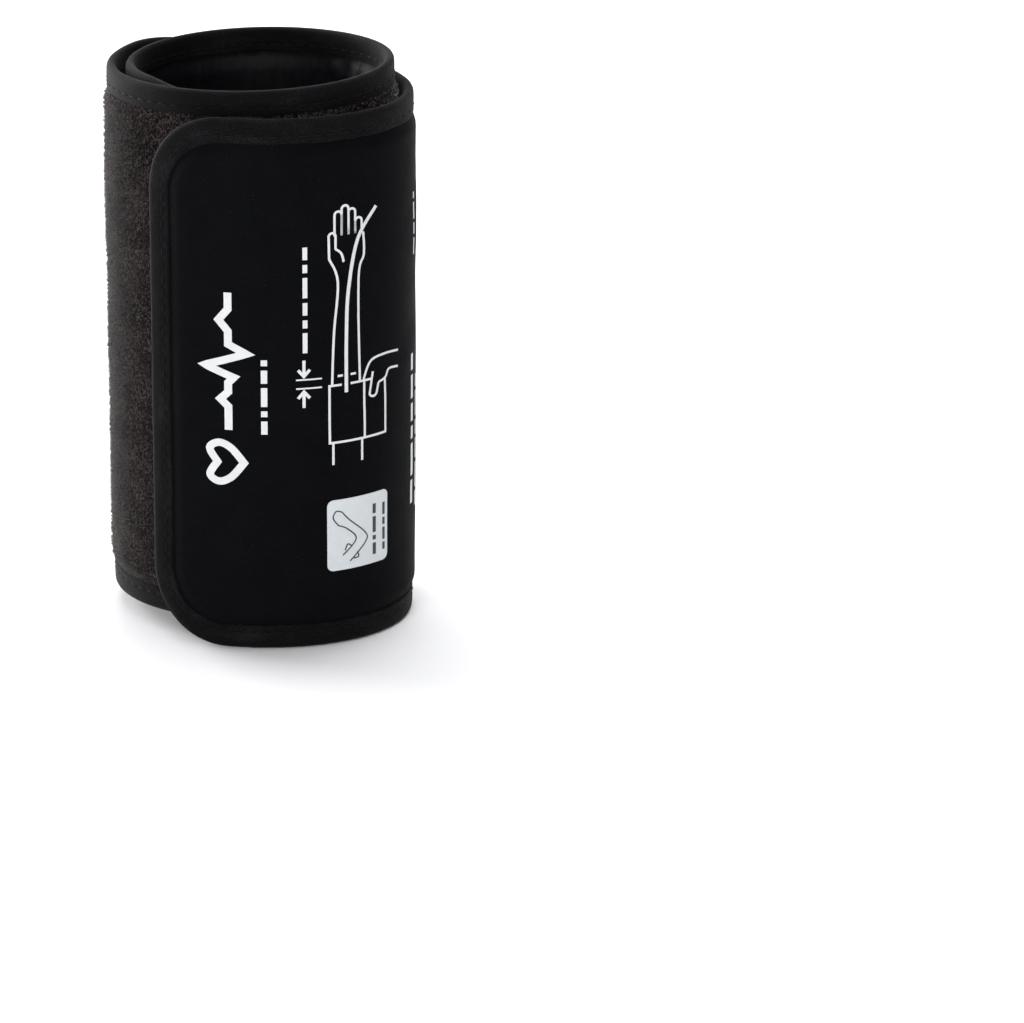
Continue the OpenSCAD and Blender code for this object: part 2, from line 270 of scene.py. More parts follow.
def simulate_puckers():
    """Heights, in mm, of a sheet a little too large for the seams that hold its edges."""
    cols = round(LENGTH / RELIEF_CELL) + 1
    rows = round((HEIGHT - 2 * BINDING_W) / RELIEF_CELL) + 1
    rng = np.random.default_rng(SEED)
    x, y = np.meshgrid(np.arange(cols), np.arange(rows), indexing="ij")
    start = rng.normal(0, START_ROUGHNESS, x.shape)
    cell = RELIEF_CELL * SIM_SCALE
    points = np.stack([x * cell, y * cell, start * cell], -1).reshape(-1, 3)
    mesh = bpy.data.meshes.new("pucker_sheet")
    mesh.from_pydata(points.tolist(), [], grid_faces(cols, rows))
    sheet = bpy.data.objects.new("pucker_sheet", mesh)
    bpy.context.scene.collection.objects.link(sheet)
    seam = sheet.vertex_groups.new(name="seam")
    held = (x == 0) | (y == 0) | (x == cols - 1) | (y == rows - 1)
    seam.add(np.flatnonzero(held.ravel()).tolist(), 1.0, "REPLACE")
    cloth = sheet.modifiers.new("cloth", "CLOTH")
    cloth.settings.quality = 6
    cloth.settings.mass = 0.2
    cloth.settings.tension_stiffness = 30
    cloth.settings.compression_stiffness = 30
    cloth.settings.shear_stiffness = 10
    cloth.settings.bending_stiffness = 0.6
    cloth.settings.tension_damping = 15
    cloth.settings.compression_damping = 15
    cloth.settings.vertex_group_mass = "seam"
    cloth.settings.shrink_min = -EXTRA_CLOTH
    cloth.settings.effector_weights.gravity = 0
    cloth.collision_settings.use_collision = False
    cloth.point_cache.frame_end = SIM_FRAMES
    scene = bpy.context.scene
    for number in range(1, SIM_FRAMES + 1):
        scene.frame_set(number)
    settled = sheet.evaluated_get(bpy.context.evaluated_depsgraph_get()).data
    heights = np.array([v.co.z for v in settled.vertices]).reshape(cols, rows)
    scene.frame_set(1)
    bpy.data.objects.remove(sheet)
    bpy.data.meshes.remove(mesh)
    return heights / SIM_SCALE


def smoothed(field, times):
    """A relief field with each point replaced by the mean of its neighbours, several times."""
    for _ in range(times):
        wide = np.pad(field, 1, mode="edge")
        field = (
            wide[:-2, 1:-1] + wide[2:, 1:-1] + wide[1:-1, :-2] + wide[1:-1, 2:]
        ) / 4
    return field


PUCKERS = simulate_puckers()
SOFT_PUCKERS = smoothed(PUCKERS, SOFTENING)


def sample(field, s, z):
    """Bilinear reading of a relief field at strip distance s and height z."""
    u = np.clip(s / RELIEF_CELL, 0, field.shape[0] - 1.001)
    v = np.clip((z - BINDING_W) / RELIEF_CELL, 0, field.shape[1] - 1.001)
    i, j = u.astype(int), v.astype(int)
    a, b = ease(u - i), ease(v - j)
    return (
        field[i, j] * (1 - a) * (1 - b)
        + field[i + 1, j] * a * (1 - b)
        + field[i, j + 1] * (1 - a) * b
        + field[i + 1, j + 1] * a * b
    )


# ---- Faces of the layers: offset n at (s, z) on the flat strip ----

# Offset of both outer faces under the binding, and of what lies between them there
EDGE_N = 0.72
EDGE_BACK = 0.3
FLAP_BACK = 0.2
# Distance from the edge where a layer starts to swell, and over which it does
SWELL_FROM = 5.2
SWELL_OVER = 5.0
LINING_SWELL_OVER = 6.5
BACK_FROM = 6.8
BACK_OVER = 2.4
# The bulge over the air port: offset, half width, height and how softly it ends
PORT_COVER = 2.4
COVER_HALF = 1.2
COVER_TOP = 14.5
COVER_BLEND = 4.0
COVER_ROUNDING = 0.25
# How much of the simulated puckers shows in each cloth, and the most that it may reach
CLOTH_PUCKER = 0.1
CLOTH_PUCKER_MOST = 0.12
LINING_PUCKER = 0.8
LINING_PUCKER_MOST = 1.1
LINING_PUCKER_OUT = 0.15
# Share of the puckers lost where the lining faces another turn, and where that starts
CALM_SHARE = 0.7
CALM_FROM = 190.0
CALM_OVER = 20.0
# Step along the strip for the slope of a face
SLOPE_STEP = 0.08


def flap_flat(s):
    """0 where bladder and curler fill the wall, 1 on the flap."""
    return ease((s - PRINT_START) / PANEL)


def port_cover(s, z):
    """Offset that the cloth needs to pass over the boot of the air port."""
    beside = 1 - ease((np.abs(s - PORT_S) - COVER_HALF) / COVER_BLEND)
    return PORT_COVER * beside * (1 - ease((z - COVER_TOP) / COVER_BLEND))


def over(offset, cover):
    """The larger of two offsets, with a rounded change from one to the other."""
    return (offset + cover + np.hypot(offset - cover, COVER_ROUNDING)) / 2


def cloth_face(s, z):
    """Outer face of the loop cloth and of the printed panel."""
    swell = ease((edge_distance(s, z) - SWELL_FROM) / SWELL_OVER)
    relief = sample(SOFT_PUCKERS, s, z) * CLOTH_PUCKER
    relief = np.clip(relief, -CLOTH_PUCKER_MOST, CLOTH_PUCKER_MOST)
    rise = (WALL_HALF - EDGE_N) * swell + relief * swell
    return over(EDGE_N + rise, port_cover(s, z))


def cloth_back(s, z):
    """Hidden face of the loop cloth and of the printed panel."""
    inside = (WALL_HALF - CLOTH_T) * (1 - flap_flat(s)) - FLAP_BACK * flap_flat(s)
    share = ease((edge_distance(s, z) - BACK_FROM) / BACK_OVER)
    return EDGE_BACK + (inside - EDGE_BACK) * share


def lining_face(s, z):
    """Face of the lining that touches the arm."""
    swell = ease((edge_distance(s, z) - SWELL_FROM) / LINING_SWELL_OVER)
    # folds stand inward, further where nothing but the arm faces them
    most = LINING_PUCKER_MOST * (1 - CALM_SHARE * ease((s - CALM_FROM) / CALM_OVER))
    relief = np.clip(sample(PUCKERS, s, z) * LINING_PUCKER, -most, LINING_PUCKER_OUT)
    full = (WALL_HALF - EDGE_N) * (1 - flap_flat(s))
    window = ease((edge_distance(s, z) - SWELL_FROM) / 3)
    flat = EDGE_N + full * swell - relief * window * (1 - CALM_SHARE * flap_flat(s))
    return -over(flat, port_cover(s, z))


def lining_back(s, z):
    """Hidden face of the lining."""
    return np.minimum(lining_face(s, z) + LINING_T, -EDGE_BACK + 0 * s)


def surface(s, z, face):
    """Points on a face of a layer and unit normals that point outward from the wrap."""
    e = SLOPE_STEP
    ds = place(s + e, z, face(s + e, z)) - place(s - e, z, face(s - e, z))
    dz = place(s, z + e, face(s, z + e)) - place(s, z - e, face(s, z - e))
    normal = np.cross(dz, ds)
    normal /= np.maximum(np.linalg.norm(normal, axis=-1, keepdims=True), 1e-12)
    return place(s, z, face(s, z)), normal


def strip_stops(start, end):
    """Strip distances from start to end, crowded where the outline turns a corner."""
    if start <= 0:
        turn = np.linspace(0, math.pi / 2, 14)
        head = INNER_CORNER - (INNER_CORNER - INSET) * np.cos(turn)
        return np.concatenate([head[:-1], strip_stops(INNER_CORNER, end)])
    if end >= LENGTH:
        turn = np.linspace(0, math.pi / 2, 22)
        corner = LENGTH - FLAP_CORNER
        tail = corner + (FLAP_CORNER - INSET) * np.sin(turn)
        return np.concatenate([strip_stops(start, corner), tail[1:]])
    return np.linspace(start, end, max(2, math.ceil((end - start) / GRID) + 1))


def strip_layer(name, start, end, outer, inner, material):
    """One stretch of a layer, between its outer and inner faces."""
    stops = strip_stops(start, end)
    low = outline_z(stops, INSET)
    share = np.linspace(0, 1, round(HEIGHT / GRID))
    z = low[:, None] + share[None, :] * (HEIGHT - 2 * low)[:, None]
    s = np.broadcast_to(stops[:, None], z.shape)
    front, front_n = surface(s, z, outer)
    back, back_n = surface(s, z, inner)
    uv = np.stack([s, z], -1)
    return layer_solid(name, front, back, uv, front_n, -back_n, material)


# ---- Edge binding ----

BOTTOM_RUN = LENGTH - INNER_CORNER - FLAP_CORNER
TIP_ARC = FLAP_CORNER * math.pi / 2
INNER_ARC = INNER_CORNER * math.pi / 2
TIP_RUN = HEIGHT - 2 * FLAP_CORNER
INNER_RUN = HEIGHT - 2 * INNER_CORNER
# Lengths of the eight pieces of the edge, from the lower edge round the tip
EDGE_PARTS = [
    BOTTOM_RUN, TIP_ARC, TIP_RUN, TIP_ARC, BOTTOM_RUN, INNER_ARC, INNER_RUN, INNER_ARC,
]
EDGE_STARTS = np.concatenate([[0], np.cumsum(EDGE_PARTS)])
EDGE_TOTAL = EDGE_STARTS[-1]


def bottom_at(s):
    """Distance along the whole edge of the point of the lower edge at s."""
    return s - INNER_CORNER


def top_at(s):
    """Distance along the whole edge of the point of the upper edge at s."""
    return EDGE_STARTS[4] + LENGTH - FLAP_CORNER - s


def edge_point(run):
    """Strip point (s, z) and inward direction at distances run along the whole edge."""
    run = np.mod(np.asarray(run, float), EDGE_TOTAL)
    part = np.searchsorted(EDGE_STARTS, run, side="right") - 1
    part = np.clip(part, 0, 7)
    along = run - EDGE_STARTS[part]
    far, top = LENGTH - FLAP_CORNER, HEIGHT - FLAP_CORNER
    near, upper = INNER_CORNER, HEIGHT - INNER_CORNER
    # centre (or start), radius and first angle for each of the eight parts
    centre_s = np.array([near, far, LENGTH, far, far, near, 0, near])
    centre_z = np.array([0, FLAP_CORNER, FLAP_CORNER, top, HEIGHT, upper, upper, near])
    radius = np.array([0, FLAP_CORNER, 0, FLAP_CORNER, 0, near, 0, near])
    first = np.radians([-90, -90, 0, 0, 90, 90, 180, 180])
    r = radius[part]
    turn = first[part] + np.where(r > 0, along / np.maximum(r, 1), 0)
    step = np.where(r > 0, 0, along)
    s = centre_s[part] + r * np.cos(turn) - step * np.sin(turn)
    z = centre_z[part] + r * np.sin(turn) + step * np.cos(turn)
    return s, z, -np.cos(turn), -np.sin(turn)


STITCH_DEPTH = 4.5
STITCH_PITCH = EDGE_TOTAL / round(EDGE_TOTAL / 3.7)
STITCH_LENGTH = 2.9
THREAD_R = 0.2
# How far a stitch dips at its ends, and how far it draws the tape in along and at its holes
THREAD_DIP = 0.24
GROOVE_DEEP = 0.1
HOLE_DEEP = 0.12
GROOVE_WIDE = 0.45
TAPE_STEP = 0.92


def tape_profile():
    """Closed section of the folded tape: depth from the edge and offset, edge outward first."""
    h, t, w = BINDING_HALF, BINDING_T, BINDING_W
    outer = [
        (w, h - 0.32), (w - 0.1, h - 0.1), (w - 0.45, h), (5.4, h), (4.95, h),
        (STITCH_DEPTH, h), (4.05, h), (3.6, h), (2.6, h), (1.6, h - 0.02), (0.9, h - 0.12),
        (0.4, h - 0.38), (0.12, h - 0.75), (0.0, h - 1.1),
    ]
    inner = [(w, h - t), (4.0, h - t), (2.0, h - t), (0.8, h - t - 0.05), (0.62, 0.4)]
    mirror = [(d, -n) for d, n in outer[::-1]]
    back = [(d, -n) for d, n in inner]
    return np.array(outer + mirror + back + inner[::-1])


PROFILE = tape_profile()


def tape_spread(s, z):
    """How much further apart the folded tape stands where it passes the air port."""
    return 1 + port_cover(s, z) / PORT_COVER


def tape_points(run):
    """Points of the tape's section at each distance along the edge."""
    s, z, in_s, in_z = (v[:, None] for v in edge_point(run))
    d = np.broadcast_to(PROFILE[:, 0], (len(run), len(PROFILE))).copy()
    n = np.broadcast_to(PROFILE[:, 1], d.shape).copy()
    outside = np.abs(n) > BINDING_HALF - BINDING_T + 0.02
    # the tape's free edge wanders a little, and the thread draws the tape in
    wander = 0.07 * np.sin(run * 0.41) + 0.05 * np.sin(run * 1.13 + 1.3)
    d += wander[:, None] * (d > BINDING_W - 0.5)
    hole = np.cos(math.pi * run / STITCH_PITCH) ** 8
    groove = np.exp(-(((d - STITCH_DEPTH) / GROOVE_WIDE) ** 2)) * outside
    n -= np.sign(n) * groove * (GROOVE_DEEP + HOLE_DEEP * hole[:, None])
    s, z = s + in_s * d, z + in_z * d
    return place(s, z, n * tape_spread(s, z))


def profile_length():
    """Distance round the tape's section to each of its points."""
    gaps = np.hypot(*np.diff(PROFILE, axis=0).T)
    return np.concatenate([[0], np.cumsum(gaps)])


def tape_piece(name, start, end, material):
    """The binding along the edge between two distances, with closed ends."""
    count = max(3, math.ceil((end - start) / TAPE_STEP))
    run = np.linspace(start, end, count + 1)
    step = run[1] - run[0]
    wide = tape_points(np.concatenate([[start - step], run, [end + step]]))
    along = (wide[2:] - wide[:-2]) / 2
    points = wide[1:-1]
    around = (np.roll(points, -1, 1) - np.roll(points, 1, 1)) / 2
    normals = np.cross(along, around)
    normals /= np.maximum(np.linalg.norm(normals, axis=-1, keepdims=True), 1e-12)
    rows, cols = points.shape[:2]
    faces = grid_faces(rows, cols, 0, flip=True, wrap=True)
    faces.append(list(range(cols)))
    faces.append([(rows - 1) * cols + j for j in range(cols - 1, -1, -1)])
    u = np.broadcast_to(run[:, None], (rows, cols))
    v = np.broadcast_to(profile_length()[None, :], (rows, cols))
    uv = np.stack([u, v], -1).reshape(-1, 2)
    return mesh_object(name, points, faces, material, uv, normals.reshape(-1, 3))


def stitches(name, start, end, side, material):
    """The row of stitches on one face of the tape; side is 1 outside, -1 inside."""
    first, last = math.ceil(start / STITCH_PITCH), math.floor(end / STITCH_PITCH)
    rings, sides = 7, 6
    t = np.linspace(0, 1, rings)
    arch = np.sin(math.pi * t) ** 0.6
    angle = np.arange(sides) * 2 * math.pi / sides
    points, faces = [], []
    for number in range(first, last):
        mid = (number + 0.5) * STITCH_PITCH
        run = mid + (t - 0.5) * STITCH_LENGTH
        s, z, in_s, in_z = (v[:, None] for v in edge_point(run))
        r = THREAD_R * (0.55 + 0.45 * arch)[:, None]
        d = STITCH_DEPTH + r * np.cos(angle)
        base = BINDING_HALF - THREAD_DIP + THREAD_DIP * arch[:, None]
        n = side * (base + r * np.sin(angle))
        s, z = s + in_s * d, z + in_z * d
        ring = place(s, z, n * tape_spread(s, z))
        offset = len(points)
        points.extend(ring.reshape(-1, 3).tolist())
        faces += grid_faces(rings, sides, offset, flip=side < 0, wrap=True)
        caps = [list(range(offset, offset + sides))[::-1]]
        caps.append([offset + (rings - 1) * sides + j for j in range(sides)])
        faces += [c[::side] for c in caps]
    return mesh_object(name, points, faces, material)


# ---- Materials ----


class Shader:
    """Small helper that adds nodes to a material and joins them."""

    def __init__(self, name, color, roughness, **sockets):
        self.material = bpy.data.materials.new(name)
        self.material.use_nodes = True
        self.tree = self.material.node_tree
        self.surface = self.tree.nodes["Principled BSDF"]
        self.surface.inputs["Base Color"].default_value = (*color, 1)
        self.surface.inputs["Roughness"].default_value = roughness
        self.set(**sockets)

    def set(self, **sockets):
        """Uniform values of the surface, named with _ for a space."""
        for socket, value in sockets.items():
            self.surface.inputs[socket.replace("_", " ")].default_value = value

    def add(self, kind, **settings):
        node = self.tree.nodes.new("ShaderNode" + kind)
        for key, value in settings.items():
            setattr(node, key, value)
        return node

    def join(self, source, target):
        self.tree.links.new(source, target)

    def uv(self, scale_s, scale_z):
        """Strip coordinates in millimetres, times a scale each way."""
        source = self.add("UVMap", uv_map="strip")
        mapping = self.add("Mapping")
        mapping.inputs["Scale"].default_value = (scale_s, scale_z, 1)
        self.join(source.outputs["UV"], mapping.inputs["Vector"])
        return mapping.outputs["Vector"]

    def noise(self, vector, scale, detail=3.0, rough=0.6):
        node = self.add("TexNoise")
        node.inputs["Scale"].default_value = scale
        node.inputs["Detail"].default_value = detail
        node.inputs["Roughness"].default_value = rough
        self.join(vector, node.inputs["Vector"])
        return node.outputs["Fac"]

    def math(self, operation, a, b=None):
        node = self.add("Math", operation=operation)
        for socket, value in zip(node.inputs, (a, b)):
            if isinstance(value, (int, float)):
                socket.default_value = value
            elif value is not None:
                self.join(value, socket)
        return node.outputs["Value"]

    def ramp(self, factor, stops):
        node = self.add("ValToRGB")
        ramp = node.color_ramp
        while len(ramp.elements) < len(stops):
            ramp.elements.new(0.5)
        for element, (position, color) in zip(ramp.elements, stops):
            element.position = position
            element.color = (*color, 1)
        self.join(factor, node.inputs["Fac"])
        return node.outputs["Color"]

    def weave(self, pitch_s, pitch_z):
        """Height of a plain weave: threads rise and dip one over the other."""
        source = self.add("UVMap", uv_map="strip")
        split = self.add("SeparateXYZ")
        self.join(source.outputs["UV"], split.inputs["Vector"])
        waves = [
            self.math("SINE", self.math("MULTIPLY", split.outputs[k], math.pi / pitch))
            for k, pitch in ((0, pitch_s), (1, pitch_z))
        ]
        return self.math("MULTIPLY", *waves)

    def bump(self, height, distance_mm, strength=1.0, under=None):
        node = self.add("Bump")
        node.inputs["Strength"].default_value = strength
        node.inputs["Distance"].default_value = distance_mm * MM
        self.join(height, node.inputs["Height"])
        if under is not None:
            self.join(under, node.inputs["Normal"])
        return node.outputs["Normal"]

    def finish(self, color=None, roughness=None, normal=None):
        for value, socket in (
            (color, "Base Color"), (roughness, "Roughness"), (normal, "Normal"),
        ):
            if value is not None:
                self.join(value, self.surface.inputs[socket])
        return self.material


def loop_cloth_material():
    """Brushed loops: dark, with lighter flecks drawn out along the height."""
    m = Shader("loop_cloth", (0.02, 0.017, 0.017), 0.95, Specular_IOR_Level=0.03)
    m.set(Sheen_Weight=0.25, Sheen_Roughness=0.2)
    streak = m.noise(m.uv(2.4, 0.8), 1.0, 4.0, 0.7)
    tuft = m.noise(m.uv(1.0, 1.0), 1.7, 3.0, 0.65)
    patch = m.noise(m.uv(1.0, 1.0), 0.09, 2.0)
    mix = m.math("ADD", m.math("MULTIPLY", streak, 0.6), m.math("MULTIPLY", tuft, 0.4))
    tone = m.math("ADD", mix, m.math("MULTIPLY", m.math("SUBTRACT", patch, 0.5), 0.2))
    stops = [
        (0.38, (0.0009, 0.0006, 0.0006)),
        (0.5, (0.006, 0.0044, 0.0045)),
        (0.62, (0.052, 0.042, 0.042)),
    ]
    return m.finish(m.ramp(tone, stops), None, m.bump(mix, 0.35))


def print_panel_material():
    """Smooth close-woven nylon, near black with a trace of blue."""
    m = Shader("print_panel", (0.004, 0.004, 0.005), 0.6, Specular_IOR_Level=0.022)
    weave = m.weave(0.34, 0.34)
    patch = m.noise(m.uv(1.0, 1.0), 0.12, 3.0)
    fleck = m.noise(m.uv(1.0, 1.0), 2.2, 2.0)
    tone = m.math("ADD", m.math("MULTIPLY", patch, 0.5), m.math("MULTIPLY", fleck, 0.5))
    color = m.ramp(tone, [(0.3, (0.0020, 0.0021, 0.0027)), (0.7, (0.0042, 0.0044, 0.0056))])
    rough = m.math("ADD", m.math("MULTIPLY", patch, 0.2), 0.5)
    return m.finish(color, rough, m.bump(weave, 0.05, 0.8))


def lining_material():
    """Fine satin that catches light on its creases."""
    m = Shader("lining", (0.004, 0.004, 0.005), 0.35, Specular_IOR_Level=0.07)
    weave = m.weave(0.26, 0.26)
    patch = m.noise(m.uv(1.0, 1.0), 0.3, 3.0)
    crease = m.noise(m.uv(0.5, 0.12), 1.0, 2.0)
    color = m.ramp(patch, [(0.3, (0.003, 0.003, 0.004)), (0.7, (0.006, 0.006, 0.0075))])
    rough = m.math("ADD", m.math("MULTIPLY", patch, 0.2), 0.3)
    fine = m.bump(weave, 0.03, 0.7)
    return m.finish(color, rough, m.bump(crease, 0.5, 0.5, fine))


def binding_material():
    """Ribbed woven tape with a little lint on it."""
    m = Shader("binding", (0.012, 0.012, 0.013), 0.75, Specular_IOR_Level=0.08)
    m.set(Sheen_Weight=0.07, Sheen_Roughness=0.25)
    rib = m.weave(0.5, 0.42)
    lint = m.noise(m.uv(1.2, 3.5), 1.0, 4.0, 0.7)
    patch = m.noise(m.uv(0.06, 0.2), 1.0, 2.0)
    tone = m.math("ADD", m.math("MULTIPLY", lint, 0.6), m.math("MULTIPLY", patch, 0.4))
    stops = [
        (0.34, (0.0010, 0.0010, 0.0013)),
        (0.52, (0.0032, 0.0032, 0.0038)),
        (0.7, (0.018, 0.0178, 0.0195)),
    ]
    fine = m.bump(rib, 0.09, 0.9)
    return m.finish(m.ramp(tone, stops), None, m.bump(lint, 0.12, 0.6, fine))


def plain_material(name, dark, light, roughness, grain, bump_mm, **sockets):
    """Moulded, printed or spun pieces: fine grain in colour, roughness and height."""
    m = Shader(name, light, roughness, **sockets)
    place_in = m.add("TexCoord").outputs["Object"]
    fine = m.noise(place_in, grain, 4.0)
    broad = m.noise(place_in, grain / 12, 2.0)
    tone = m.math("ADD", m.math("MULTIPLY", fine, 0.5), m.math("MULTIPLY", broad, 0.5))
    color = m.ramp(tone, [(0.3, dark), (0.7, light)])
    rough = m.math("ADD", m.math("MULTIPLY", tone, 0.2), roughness - 0.1)
    return m.finish(color, rough, m.bump(fine, bump_mm, 0.6))


LOOP = loop_cloth_material()
PRINT = print_panel_material()
LINING = lining_material()
BINDING = binding_material()
PILE = plain_material(
    "pile", (0.002, 0.0015, 0.0015), (0.13, 0.110, 0.107), 0.9, 2200, 0.02,
    Specular_IOR_Level=0.03, Sheen_Weight=0.35, Sheen_Roughness=0.3,
)
THREAD = plain_material(
    "thread", (0.0015, 0.0015, 0.0018), (0.005, 0.005, 0.0055), 0.6, 2500, 0.05,
    Specular_IOR_Level=0.12,
)
INK = plain_material("ink", (0.66, 0.67, 0.68), (0.78, 0.79, 0.80), 0.6, 3500, 0.02)
LABEL = plain_material("label", (0.60, 0.63, 0.65), (0.68, 0.71, 0.73), 0.55, 3000, 0.02)
DARK_INK = plain_material("dark_ink", (0.02, 0.025, 0.03), (0.04, 0.045, 0.05), 0.6, 3500, 0.02)
HOOK = plain_material(
    "hook", (0.006, 0.006, 0.007), (0.013, 0.013, 0.014), 0.4, 2500, 0.02, Specular_IOR_Level=0.3
)
CURLER = plain_material("curler", (0.62, 0.64, 0.66), (0.72, 0.74, 0.76), 0.4, 1500, 0.02)
BLADDER = plain_material("bladder", (0.20, 0.20, 0.22), (0.28, 0.28, 0.30), 0.5, 1200, 0.03)
PORT = plain_material("port", (0.05, 0.05, 0.055), (0.08, 0.08, 0.085), 0.45, 1800, 0.02)

for node_name, node_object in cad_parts.items():
    kind = node_name.split("_")[0]
    inner_material = {"curler": CURLER, "bladder": BLADDER, "air": PORT}.get(kind)
    if inner_material:
        for material_slot in node_object.material_slots:
            material_slot.material = inner_material


# ---- Loop pile ----

PILE_PER_MM2 = 1.5
PILE_HIGH = 0.6
PILE_LOWEST = 0.35
PILE_WIDE = 0.16
PILE_REACH = (0.18, 0.42)
PILE_TURN = 0.5
PILE_MARGIN = BINDING_W + 0.4


def loop_pile(zone, start, end):
    """Small arched loops all over one stretch of the brushed cloth."""
    rng = np.random.default_rng(SEED + zone)
    start = max(start, PILE_MARGIN)
    count = round((end - start) * (HEIGHT - 2 * PILE_MARGIN) * PILE_PER_MM2)
    s = rng.uniform(start, end, count)
    z = rng.uniform(PILE_MARGIN, HEIGHT - PILE_MARGIN, count)
    turn = rng.normal(math.pi / 2, PILE_TURN, count)
    reach = rng.uniform(*PILE_REACH, count)
    high = rng.uniform(PILE_LOWEST, 1.0, count) * PILE_HIGH
    points = []
    for along, rise in ((-1, -0.15), (0.1, 1), (1, -0.15)):
        for side in (-0.5, 0.5):
            ps = s + np.cos(turn) * reach * along - np.sin(turn) * PILE_WIDE * side
            pz = z + np.sin(turn) * reach * along + np.cos(turn) * PILE_WIDE * side
            points.append(place(ps, pz, cloth_face(s, z) + high * rise))
    first = np.arange(count)[:, None] * 6
    faces = np.concatenate([first + [0, 1, 3, 2], first + [2, 3, 5, 4]]).tolist()
    points = np.stack(points, 1)
    piece = mesh_object(f"loop_pile_{zone + 1}", points, faces, PILE)
    return [attach(piece, zone)]


# ---- Sewn layers, one stretch at a time ----

# Endings of the CAD nodes of one layer, one for each body
STRETCH = ["coil", "b", "c", "d", "e", "tip"]


def layer_pieces(prefix, outer, inner, material, start=0.0, end=LENGTH, trim=None):
    """A layer of the strip, cut where it passes from one body or hinge to the next.

    trim(zone, from, to) makes the separate pieces that belong to one stretch of it.
    """
    made = []
    for number, (low, high, _) in enumerate(ZONES):
        low, high = max(low, start), min(high, end)
        if high - low < 1:
            continue
        name = f"{prefix}_skin_{number + 1}"
        piece = strip_layer(name, low, high, outer, inner, material)
        attach(piece, number)
        made.append(piece)
        trim(number, low, high) if trim else []
    return made


loop_skins = layer_pieces(
    "loop_cloth", cloth_face, cloth_back, LOOP, 0, PRINT_START, loop_pile
)
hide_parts("loop_cloth_coil", "loop_cloth_b", "loop_cloth_c")
print_skins = layer_pieces(
    "print_panel", cloth_face, cloth_back, PRINT, PRINT_START, LENGTH
)
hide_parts("print_panel_d", "print_panel_e", "print_panel_tip")
lining_skins = layer_pieces("lining", lining_back, lining_face, LINING)
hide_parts(*(f"lining_{part}" for part in STRETCH))


def binding_pieces():
    """Tape and stitches: round each end in one piece, else a lower and an upper run."""
    made = []
    last = len(ZONES) - 1
    for number, (low, high, _) in enumerate(ZONES):
        if number == 0:
            runs = [("end", top_at(high), EDGE_TOTAL + bottom_at(high))]
        elif number == last:
            runs = [("end", bottom_at(low), top_at(low))]
        else:
            runs = [("low", bottom_at(low), bottom_at(high)), ("top", top_at(high), top_at(low))]
        for word, start, end in runs:
            name = f"binding_{word}_{number + 1}"
            tape = attach(tape_piece(name, start, end, BINDING), number)
            for face, side in (("out", 1), ("in", -1)):
                row = stitches(f"stitch_{face}_{word}_{number + 1}", start, end, side, THREAD)
                attach(row, number)
            made.append(tape)
    return made


binding_skins = binding_pieces()
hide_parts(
    "end_binding", "lower_binding", "upper_binding",
    *(f"binding_{part}" for part in STRETCH[1:]),
)


# ---- Printed marks, drawn on the flat strip as ribbons of ink ----

FLAP_ZONE = 5
LOWER_FLAP_ZONE = 4
INK_T = 0.06
INK_SUNK = 0.04
LABEL_T = 0.15
LABEL_SUNK = 0.05
LABEL_S = (420.4, 438.6)
LABEL_Z = (21.1, 40.9)
LABEL_CORNER = 1.7
# Where the origin of the artwork lies on the strip
ART_AT = (2.4, 1.3)


def arc(cs, cz, r, start, end, count=12):
    """Points round (cs, cz); 0 degrees is towards the flap tip, 90 is up."""
    turn = np.radians(np.linspace(start, end, count))
    return [(cs + r * math.cos(a), cz + r * math.sin(a)) for a in turn]


def curve(points, count=6):
    """A smooth line through a few points."""
    p = np.array([points[0], *points, points[-1]], float)
    t = np.arange(count)[:, None] / count
    line = []
    for a, b, c, d in zip(p, p[1:], p[2:], p[3:]):
        line.append(
            b + t * (c - a) / 2 + t**2 * (a - 2.5 * b + 2 * c - d / 2)
            + t**3 * (1.5 * (b - c) + (d - a) / 2)
        )
    return np.concatenate([*line, p[-1:]])


def resampled(points, pitch=0.7):
    """The same line with no gap longer than pitch."""
    p = np.asarray(points, float)
    line = [p[:1]]
    for a, b in zip(p, p[1:]):
        count = max(1, math.ceil(np.hypot(*(b - a)) / pitch))
        line.append(a + (b - a) * (np.arange(1, count + 1) / count)[:, None])
    return np.concatenate(line)


def ribbon(points, width):
    """Left and right edges of a stroke, with mitred corners."""
    p = resampled(points)
    ahead = np.diff(p, axis=0)
    ahead /= np.linalg.norm(ahead, axis=1, keepdims=True)
    closed = np.allclose(p[0], p[-1])
    before = np.concatenate([ahead[-1:] if closed else ahead[:1], ahead])
    after = np.concatenate([ahead, ahead[:1] if closed else ahead[-1:]])
    across = np.stack([-(before + after)[:, 1], (before + after)[:, 0]], 1)
    across /= np.maximum((across**2).sum(1, keepdims=True) / 2, 0.35)
    return p + across * width / 2, p - across * width / 2


def drawn(name, strokes, zone, material, base=0.0):
    """One piece made of many strokes of the artwork: each is (points, width)."""
    points, faces = [], []
    for line, width in strokes:
        at = np.asarray(line, float) + ART_AT
        left, right = ribbon(at, width)
        rings = []
        sunk = -INK_SUNK
        for edge, rise in ((left, sunk), (left, INK_T), (right, INK_T), (right, sunk)):
            s, z = edge.T
            rings.append(place(s, z, cloth_face(s, z) + base + rise))
        offset = sum(len(p) for p in points)
        count = len(left)
        points.append(np.stack(rings, 1).reshape(-1, 3))
        faces += grid_faces(count, 4, offset, wrap=True)
        last = offset + (count - 1) * 4
        faces += [[offset + j for j in (3, 2, 1, 0)], [last + j for j in (0, 1, 2, 3)]]
    points = np.concatenate(points)
    piece = mesh_object(name, points, faces, material, smooth=False)
    return attach(piece, zone)


